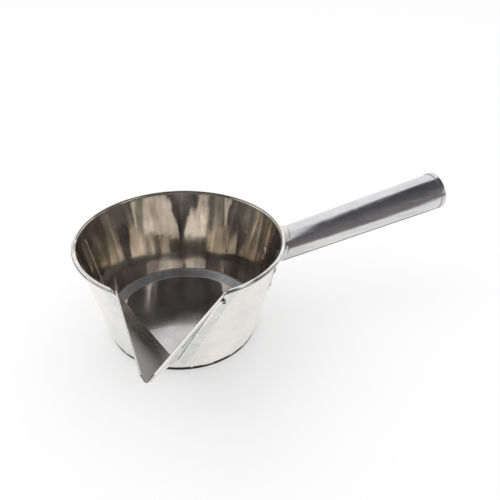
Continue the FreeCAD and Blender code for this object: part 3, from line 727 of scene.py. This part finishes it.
# The tube: radius = taper + a slight oval wave - a few dents, each a bell curve both ways; both fade at
# its ends. Its edge laps over a strip below.
def gripTube():
    s = grip
    lap = math.radians(s["lapAt"])
    halfLap = s["lapWidth"] / s["rootRadius"] / 2
    step = 0.004                                          # radians, the lap's steep side
    lapEdges = [lap - halfLap - step, lap - halfLap, lap + halfLap, lap + halfLap + step]
    angle = np.unique(np.concatenate([np.linspace(0, 2 * math.pi, s["columns"] + 1), lapEdges]))
    share = np.unique(np.concatenate([np.linspace(0, 1, s["rows"] + 1), s["tabLine"]]))
    turn = angle[:, None]
    wave = waveSum(s["oval"], turn, share)
    for place, middle, depth, length, width in s["dents"]:
        away = np.angle(np.exp(1j * (turn - middle)))
        wave = wave - depth * np.exp(-((share - place) / length) ** 2 - (away / width) ** 2)
    (start, rising), (end, falling) = s["smoothFrom"], s["smoothTo"]
    wave = wave * np.clip((share - start) / rising, 0, 1) * np.clip((end - share) / falling, 0, 1)
    grids = []
    for side in (0, 1):
        around = np.full_like(angle, s["rootRadius"] - side * s["sheet"])
        begin = gripFromWall(angle, around, s["seat"])[:, None]
        along = begin + (s["tubeEnd"] - begin) * share
        radius = gripRadius(along, -side * s["sheet"]) + wave
        if side == 0:
            lapStart = np.clip((along - begin - s["lapFrom"]) / s["lapRamp"], 0, 1)
            lapEnd = np.clip((s["lapTo"] - along) / s["lapRamp"], 0, 1)
            radius = radius + s["lapSheet"] * (np.abs(turn - lap) <= halfLap + 1e-9) * lapStart * lapEnd
        grids.append(roundGrip(along, radius, turn))
    faces, kinds = sheetFaces(len(angle), len(share), rowEnds=())
    slots = sheetSlots(kinds, s, "handleSteel", "handleSteel", "edgeSteel")
    row = np.tile(share[:-1], len(angle) - 1)
    around = np.degrees(np.repeat(angle[:-1], len(share) - 1))
    around = np.minimum(around, 360 - around)
    underSlot = sum((around >= low) & (around <= high) for low, high in saddle["slots"]) > 0
    shaded = (row > s["tabLine"][0] - 1e-6) & (row < s["tabLine"][1] - 1e-6)
    paint(slots, 0, shaded & ~underSlot, s, "slopeAndShadeSteel")
    piece = makePiece("gripTube", [(np.stack(grids), faces, slots)], s["finishes"], crease=50)
    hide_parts("handle_tube")


capPlan = {
    "sheet": 0.6, "skirt": 4.2, "recess": 3.0, "bend": 0.8, "play": 0.1, "columns": 120,
    "skirtSteps": (0, 0.15, 0.6, 1.4, 2.2), "dish": 0.35, "dishRadius": 13.0, "dishBehind": 2.0,
    "finishes": ("handleSteel", "edgeSteel"),
}


# The cap: a section turned about the handle's axis, out over the tube's end, back in and across. Its face
# sinks by dish x (1 - share of the radius) squared.
def gripCap():
    s = capPlan
    outside = gripRadius(grip["tubeEnd"], s["play"]) + s["sheet"]
    inside = gripRadius(grip["tubeEnd"], -grip["sheet"] - 2 * s["play"]) - s["sheet"]
    roll = (outside - inside) / 2
    face = grip["length"] - s["recess"]
    turn = np.linspace(math.pi / 2, -math.pi / 2, 17)
    spoke = np.stack([np.cos(turn), np.sin(turn)], 1)
    skirt = np.array([[grip["length"] - s["skirt"] + step, outside] for step in s["skirtSteps"]])
    centre = np.array([grip["length"] - roll, inside + roll])
    inner, innerNormal = bentSection([(grip["length"] - roll - 0.05, inside), (face, inside), (face, 0.001)],
                                     [s["bend"]], [2, 14])
    points = np.concatenate([skirt, centre + roll * spoke, inner])
    normals = np.concatenate([np.repeat([[0.0, 1.0]], len(skirt), 0), spoke, innerNormal])
    angle = np.linspace(0, 2 * math.pi, s["columns"] + 1)[:, None]
    grids = []
    for side in (0, 1):
        at = points - normals * s["sheet"] * side
        along, radius = at[:, 0][None] + 0 * angle, np.maximum(at[:, 1], 0)[None]
        middle = np.clip(1 - radius / s["dishRadius"], 0, 1)
        along = along - s["dish"] * middle ** 2 * (at[:, 0] < grip["length"] - s["dishBehind"])[None]
        grids.append(roundGrip(along, radius, angle))
    faces, kinds = sheetFaces(len(angle), len(points), rowEnds=())
    slots = sheetSlots(kinds, s, "handleSteel", "edgeSteel", "edgeSteel")
    piece = makePiece("gripCap", [(np.stack(grids), faces, slots)], s["finishes"])
    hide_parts("handle_cap")


saddle = {
    "sheet": 1.0, "gap": 0.05, "halfWidth": 36.0, "height": 25.0, "middle": 50.0, "corner": 7.0, "pad": 17.5,
    "wear": 0.25, "wearWidth": 0.6,
    "tab": 0.8, "reach": 13.0, "foot": 2.5, "play": 0.15, "slots": ((45.0, 65.0), (100.0, 150.0)),
    "tabCorner": 1.6, "flare": 0.9, "flareReach": 2.2,
    "finishes": ("saddleSteel", "edgeSteel", "shadeAndMarkSteel"),
}


# The plate: rows across the wall, each from the outline's lower to its upper edge, on the cone moved out.
# The outline is a box with round corners, joined to a disc behind the handle. Its edges are worn down by
# a square law.
def saddlePlate():
    s = saddle
    quarter = np.linspace(0, math.pi / 2, 30)
    y = s["halfWidth"] * np.concatenate([-np.cos(quarter[:-1]), np.sin(quarter)])
    corner = np.clip(np.abs(y) - (s["halfWidth"] - s["corner"]), 0, s["corner"])
    rounding = s["corner"] - np.sqrt(np.maximum(s["corner"] ** 2 - corner ** 2, 0))
    low = s["middle"] - s["height"] / 2 + rounding
    high = s["middle"] + s["height"] / 2 - rounding
    padMiddle = grip["height"] - (bowl["rimRadius"] - coneRadius(grip["height"])) * math.tan(gripTilt)
    pad = np.sqrt(np.maximum(s["pad"] ** 2 - y ** 2, 0))
    high = np.where(np.abs(y) < s["pad"], np.maximum(high, padMiddle + pad), high)
    low = np.where(np.abs(y) < s["pad"], np.minimum(low, padMiddle - pad), low)
    z = low[:, None] + (high - low)[:, None] * np.linspace(0, 1, 33)
    edge = np.minimum(np.minimum(z - low[:, None], high[:, None] - z), s["halfWidth"] - np.abs(y)[:, None])
    ease = s["wear"] * np.clip(1 - edge / s["wearWidth"], 0, 1) ** 2
    grids = []
    for offset in (s["gap"] + s["sheet"], s["gap"]):
        r = coneRadius(z, offset) - (ease if offset > s["gap"] else 0)
        angle = np.arctan2(y[:, None] + 0 * z, np.sqrt(r * r - y[:, None] ** 2))
        grids.append(roundAxis(r + wallWave(angle, z), angle, z))
    faces, kinds = sheetFaces(*z.shape)
    return np.stack(grids), faces, sheetSlots(kinds, s, "saddleSteel", "saddleSteel", "edgeSteel")


# A tab, or the collar's foot where no span is given: rows round the handle, columns from the wall
# outwards, flared by a square law where they leave the plate. A tab's corners are eased by the eighth
# power across.
def saddleTab(span):
    s = saddle
    first, last = span or (0, 360)
    angle = np.radians(np.linspace(first, last, max(9, int((last - first) / 3))))
    across = np.linspace(-1, 1, len(angle))
    grids = []
    for play in (s["play"] + s["tab"], s["play"]):
        around = np.full_like(angle, grip["rootRadius"] + play)
        begin = gripFromWall(angle, around, s["gap"])[:, None]
        end = gripFromWall(angle, around, s["reach"] if span else s["foot"])[:, None]
        if span:
            end = end - s["tabCorner"] * np.abs(across[:, None]) ** 8
        along = begin + (end - begin) * np.linspace(0, 1, 25)
        flare = s["flare"] * np.clip(1 - (along - begin) / s["flareReach"], 0, 1) ** 2
        radius = gripRadius(along, play) + (flare if play > s["play"] else flare * 0.4)
        grids.append(roundGrip(along, radius, angle[:, None]))
    faces, kinds = sheetFaces(*grids[0].shape[:2], rowEnds=("first", "last") if span else ())
    # Painted shade: the edges of the tabs and the collar's foot are near-black, as dark outlines round them
    return np.stack(grids), faces, sheetSlots(kinds, s, "saddleSteel", "saddleSteel", "shadeAndMarkSteel")


def handleSaddle():
    (a, b), (c, d) = saddle["slots"]
    spans = ((-a, a), (b, c), (-c, -b), (d, 360 - d), None)
    shells = [saddlePlate()] + [saddleTab(span) for span in spans]
    piece = makePiece("handleSaddle", shells, saddle["finishes"])
    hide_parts("handle_bracket")


# A turned piece: a closed section (radius, height along the axis) carried round an axis through a point.
# Lopsided tilts its heights by a cosine that is nought at the middle, and makes it oval by half as much.
def turnedShell(section, centre, axis, columns=40, lopsided=0.0):
    axis = np.array(axis, float) / np.linalg.norm(axis)
    first = np.cross(axis, [0.0, 0.0, 1.0])
    first = first / np.linalg.norm(first)
    second = np.cross(axis, first)
    angle = np.linspace(0, 2 * math.pi, columns + 1)[:, None]
    section = np.array(section, float)
    r, h = section[:, 0][None], section[:, 1][None]
    h = h * (1 + lopsided * np.cos(angle + 0.7) * r / r.max())
    r = r * (1 + 0.5 * lopsided * np.cos(2 * angle + 0.3))
    spoke = np.cos(angle)[..., None] * first + np.sin(angle)[..., None] * second
    points = np.array(centre) + spoke * r[..., None] + h[..., None] * axis
    faces = gridQuads(gridNumbers(*points.shape[:2]))
    return points, faces, np.tile(np.arange(len(section) - 1), columns)


# A point of the wall's outside at an azimuth, moved out along the cone's normal, and that normal.
def wallSpot(azimuth, z, offset=0.0):
    a = math.radians(azimuth)
    normal = np.array([math.cos(lean) * math.cos(a), math.cos(lean) * math.sin(a), -math.sin(lean)])
    return roundAxis(coneRadius(z) + wallWave(a, z), a, z) + normal * offset, normal


# A domed head: height x cosine to the power 0.8 over the radius's sine, then the shank and its flat end.
def domeSection(radius, height, shank, depth):
    top = [(radius * math.sin(a), height * math.cos(a) ** 0.8) for a in np.linspace(0, math.pi / 2, 12)]
    return top + [(radius, 0.0), (shank, -0.02), (shank, -depth), (0.0, -depth)]


rivetPlan = {
    "wing": {"angle": 25.0, "z": (43.5, 56.5), "shank": 1.7, "head": 3.1, "height": 1.275, "depth": 1.6,
             "offset": 1.10},
    "root": {"z": 54.0, "shank": 2.2, "head": 3.4, "height": 1.425, "depth": 1.7, "offset": -0.65},
    "tab": {"angle": 72.0, "reach": 10.7, "shank": 1.3, "head": 2.1, "height": 1.275, "depth": 2.0,
            "offset": 0.05},
    "spout": {"z": 70.9, "side": 3.1, "shank": 1.3, "bore": 1.15, "head": 2.2, "height": 0.9, "offset": 0.60,
              "tail": 1.68, "grip": 1.2},
    "darkRows": (9, 12),                                  # steps of a head's section beside its seat
}


# A riveted head on its seat, the steps beside the seat in the second finish: painted shade round its foot.
def rivetShell(s, spot, normal, lopsided):
    section = domeSection(s["head"], s["height"], s["shank"], s["depth"])
    points, faces, rows = turnedShell(section, spot, normal, lopsided=lopsided)
    first, last = rivetPlan["darkRows"]
    return points, faces, np.where((rows >= first) & (rows < last), 1, 0)


def saddleRivets():
    s = rivetPlan["wing"]
    places = [(azimuth, z) for azimuth in (-s["angle"], s["angle"]) for z in s["z"]]
    shells = [rivetShell(s, *wallSpot(*place, s["offset"]), 0.04 + 0.01 * number)
              for number, place in enumerate(places)]
    piece = makePiece("saddleRivets", shells, ("rivetSteel", "shadeAndMarkSteel"))
    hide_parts("bracket_rivets")


def rootRivet():
    s = rivetPlan["root"]
    spot, normal = wallSpot(0.0, s["z"], s["offset"])
    shells = [rivetShell(s, spot, -normal, 0.05)]
    piece = makePiece("rootRivet", shells, ("edgeSteel", "shadeAndMarkSteel"))
    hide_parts("middle_rivet")


def gripRivets():
    s = rivetPlan["tab"]
    along = np.array((coneRadius(grip["height"], s["reach"]) - bowl["rimRadius"]) / math.cos(gripTilt))
    radius = gripRadius(along, saddle["play"] + saddle["tab"] + s["offset"])
    middle = roundGrip(along, 0.0 * radius, 0.0)
    shells = []
    for side in (-1, 1):
        seat = roundGrip(along, radius, side * math.radians(s["angle"]))
        shells.append(rivetShell(s, seat, seat - middle, 0.05))
    piece = makePiece("gripRivets", shells, ("rimSteel", "shadeAndMarkSteel"))
    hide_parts("tab_rivets")


# Hollow rivet: the section runs over a rolled lip, down the shank, round the rolled tail and back up the
# bore. Lip and tail are flattened half circles.
def spoutRivet():
    s = rivetPlan["spout"]
    local = math.degrees(float(panelAngle(coneRadius(s["z"]), s["z"], s["side"])))
    lip = [(s["bore"] + (s["head"] - s["bore"]) * (1 - math.cos(t)) / 2, s["height"] * math.sin(t) ** 0.8)
           for t in np.linspace(0.0, math.pi, 15)]
    tail = [(s["bore"] + (s["tail"] - s["bore"]) * (1 - math.cos(t)) / 2,
             -s["grip"] - 0.05 - s["height"] * 0.8 * math.sin(t) ** 0.8)
            for t in np.linspace(math.pi, 0.0, 11)]
    section = lip + [(s["shank"], -0.02), (s["shank"], -s["grip"])] + tail + [lip[0]]
    spot, normal = wallSpot(spoutPlan["azimuth"] + local, s["z"], s["offset"])
    points, faces, rows = turnedShell(section, spot, normal, lopsided=0.03)
    # Painted shade: the bore and the lip's inner rows are near-black, for the dark hole
    slots = np.where((rows < 2) | (rows > len(lip) + 1), 1, 0)
    piece = makePiece("spoutRivet", [(points, faces, slots)], ("rimSteel", "shadeAndMarkSteel"))
    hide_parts("spout_rivet")


wallSheet()
print("wall made")
floorSheet()
print("floor made")
spoutSheet()
print("spout made")
gripTube()
gripCap()
handleSaddle()
saddleRivets()
rootRivet()
gripRivets()
spoutRivet()
print("handle and rivets made")


# Studio, in metres
def stageMesh(name, points, material):
    mesh = bpy.data.meshes.new(name)
    mesh.from_pydata(points.reshape(-1, 3).tolist(), [], gridQuads(gridNumbers(*points.shape[:2])).tolist())
    mesh.materials.append(material)
    mesh.shade_smooth()
    thing = bpy.data.objects.new(name, mesh)
    bpy.context.scene.collection.objects.link(thing)
    return thing


# A stage mesh that shows in reflections only.
def reflectedMesh(name, points, material):
    thing = stageMesh(name, points, material)
    thing.visible_camera = False
    thing.visible_diffuse = False
    thing.visible_shadow = False
    thing.visible_transmission = False
    thing.visible_volume_scatter = False


def glowCard(name, points, tone):
    material, tree = nodeTree(name)
    addSurface(tree, addNode(tree, "Emission", "Emission", {"Strength": tone}))
    reflectedMesh(name, points, material)


paleFloorPlan = {
    "size": 3.0, "drop": 0.0003, "tone": 0.965, "glow": 0.6, "white": 0.45, "patchScale": 9.0,
    "glowTint": ((0.36, (0.80, 0.82, 0.82)), (0.66, (1.0, 0.97, 0.935))),
}


# The floor: plain diffuse, partly white for the camera, and partly a patchy light table in reflections.
def paleFloor():
    s = paleFloorPlan
    material, tree = nodeTree("paleFloor")
    coords = addNode(tree, "TexCoord", "Object")
    patch = addNode(tree, "TexNoise", "Fac", {"Vector": coords, "Scale": s["patchScale"], "Detail": 1.0})
    plain = addNode(tree, "BsdfDiffuse", "BSDF", {"Color": (s["tone"], s["tone"], s["tone"], 1)})
    glow = addNode(tree, "Emission", "Emission", {"Color": addRamp(tree, patch, s["glowTint"])})
    white = addNode(tree, "Emission", "Emission")
    mirrored = addMath(tree, "MULTIPLY", addNode(tree, "LightPath", "Is Glossy Ray"), s["glow"])
    seen = addMath(tree, "MULTIPLY", addNode(tree, "LightPath", "Is Camera Ray"), s["white"])
    lit = addNode(tree, "MixShader", "Shader", {0: mirrored, 1: plain, 2: glow})
    addSurface(tree, addNode(tree, "MixShader", "Shader", {0: seen, 1: lit, 2: white}))
    corner = np.array([-s["size"], s["size"]])
    points = np.stack([*np.meshgrid(corner, corner, indexing="ij"), np.full((2, 2), -s["drop"])], -1)
    stageMesh("floor", points, material)


room = {
    "radius": 1.3, "sides": (-0.97, 0.97, 260), "climbSteps": 40, "low": 0.2, "cardScale": 0.97,
    # The dark side's upper edge: side from left to right, then degrees up over the top
    "side": (-1.0, -0.93, -0.89, 0.12, 0.15, 0.188, 0.214, 0.239, 0.287, 0.341, 0.418, 0.457, 0.60, 1.0),
    "top": (58.0, 64.0, 97.0, 94.0, 79.0, 81.4, 87.0, 92.4, 97.7, 102.0, 105.2, 103.0, 104.0, 112.0),
    "tones": ((0.0, (0.200, 0.190, 0.186)), (0.35, (0.150, 0.144, 0.148)), (0.80, (0.068, 0.066, 0.073))),
    "toneByHeight": 0.62, "cloudScale": 2.2, "cloudShare": 0.45, "cloudLow": -0.22,
    "tableEdge": ((-0.02, -0.19), (0.150, -0.184), (0.170, -0.165), (0.200, -0.160), (0.221, -0.145),
                  (0.251, -0.138), (0.310, -0.154), (0.370, -0.230), (0.470, -0.390), (0.90, -0.60)),
    "tableFront": -1.25, "tableHeight": 0.001,
    "cards": {                                            # from and to side, from and to climb, tone
        "lowWindow": (0.63, 0.80, 12.0, 46.0, 1.15), "backWindow": (0.80, 0.92, 128.0, 150.0, 1.6),
        "greySide": (-0.96, -0.62, 97.0, 131.0, 0.42), "paleRight": (0.84, 0.95, 46.0, 84.0, 0.40)},
}


# A patch of the room's sphere: side is its x, and climb turns from the front horizon up over the top.
def roomPatch(side, climb):
    reach = np.sqrt(1 - side ** 2)
    return room["radius"] * np.stack([side + 0 * climb, -reach * np.cos(climb), reach * np.sin(climb)], -1)


# The dark side of the studio, in reflections only: part of a sphere in front of the handle and a sheet on
# the floor. Its upper edge climbs from left to right, which tapers the handle's dark band. Tone = its
# ramp by the height plus a soft cloud.
def darkRoom():
    s = room
    material, tree = nodeTree("darkRoom")
    coords = addNode(tree, "TexCoord", "Object")
    place = addNode(tree, "SeparateXYZ", "Z", {"Vector": coords})
    cloud = addNode(tree, "TexNoise", "Fac", {"Vector": coords, "Scale": s["cloudScale"], "Detail": 2.0})
    lower = addMath(tree, "MULTIPLY_ADD", cloud, s["cloudShare"], s["cloudLow"])
    height = addMath(tree, "MULTIPLY_ADD", place, s["toneByHeight"], lower)
    addSurface(tree, addNode(tree, "Emission", "Emission", {"Color": addRamp(tree, height, s["tones"])}))
    side = np.linspace(*s["sides"])[:, None]
    top = np.interp(side, s["side"], s["top"])
    climb = np.radians(top * np.linspace(0, 1, s["climbSteps"])[None] + s["low"])
    reflectedMesh("darkRoom", roomPatch(side, climb), material)
    edge = np.array(s["tableEdge"])
    front = np.stack([edge[:, 0], np.full(len(edge), s["tableFront"])], 1)
    table = np.insert(np.stack([edge, front], 1), 2, s["tableHeight"], -1)
    reflectedMesh("darkTable", table, material)


def roomCards():
    for name, (first, last, low, high, tone) in room["cards"].items():
        side = np.linspace(first, last, 12)[:, None]
        climb = np.radians(np.linspace(low, high, 16))[None]
        glowCard(name, room["cardScale"] * roomPatch(side, climb), tone)


rootPlan = {
    "middle": (0.1063, -0.0954, 0.1781), "facing": (0.113, -0.612, 0.783), "left": 0.080, "tone": 0.90,
    "depth": (-0.128, -0.115, -0.100, -0.084, -0.064, -0.048, -0.030, -0.010),
    "right": (0.100, 0.1057, 0.1113, 0.1141, 0.1174, 0.1219, 0.124, 0.126),
}


# A small pale card close to the handle's root, on a plane that faces it: it narrows the dark band there
# to a point. Height = the plane's middle less the slope of x and y over it.
def rootCard():
    s = rootPlan
    y = np.array(s["depth"])
    x = np.stack([np.full_like(y, s["left"]), s["right"]], 1)
    y = np.stack([y, y], 1)
    across, ahead, up = s["facing"]
    z = s["middle"][2] - ((x - s["middle"][0]) * across + (y - s["middle"][1]) * ahead) / up
    glowCard("rootCard", np.stack([x, y, z], -1), s["tone"])


# The world: plain white light from all round.
def softWorld():
    world = bpy.data.worlds.new("softWorld")
    bpy.context.scene.world = world
    world.use_nodes = True
    tree = world.node_tree
    tree.nodes.clear()
    back = addNode(tree, "Background", "Background", {"Color": (1, 1, 1, 1), "Strength": 1.0})
    addNode(tree, "OutputWorld", None, {"Surface": back})


lampPlan = {"place": (-0.5, 0.4, 0.9), "aim": (0.03, -0.02, 0.03), "size": 0.8, "power": 1.6}


# A soft lamp that leaves no highlight.
def softLamp():
    lamp = bpy.data.lights.new("key", "AREA")
    lamp.size = lampPlan["size"]
    lamp.energy = lampPlan["power"]
    thing = bpy.data.objects.new("key", lamp)
    bpy.context.scene.collection.objects.link(thing)
    thing.location = lampPlan["place"]
    aim = Vector(lampPlan["aim"]) - Vector(lampPlan["place"])
    thing.rotation_euler = aim.to_track_quat("-Z", "Y").to_euler()
    thing.visible_glossy = False


view = {
    "place": (-0.08676, -0.36390, 0.30356), "turn": -21.669, "down": 32.117, "roll": 1.630, "lens": 40.59,
    "sensor": 36.0, "nearest": 0.01,
}


def camera():
    data = bpy.data.cameras.new("view")
    data.lens = view["lens"]
    data.sensor_width = view["sensor"]
    data.clip_start = view["nearest"]
    thing = bpy.data.objects.new("view", data)
    bpy.context.scene.collection.objects.link(thing)
    turn = Euler((0, 0, math.radians(view["turn"]))).to_matrix()
    down = Euler((math.radians(90 - view["down"]), 0, 0)).to_matrix()
    roll = Euler((0, 0, math.radians(view["roll"]))).to_matrix()
    thing.rotation_euler = (turn @ down @ roll).to_euler()
    thing.location = view["place"]
    bpy.context.scene.camera = thing


paleFloor()
darkRoom()
roomCards()
rootCard()
softWorld()
softLamp()
camera()
bpy.context.scene.view_settings.view_transform = "Standard"
print("studio made")
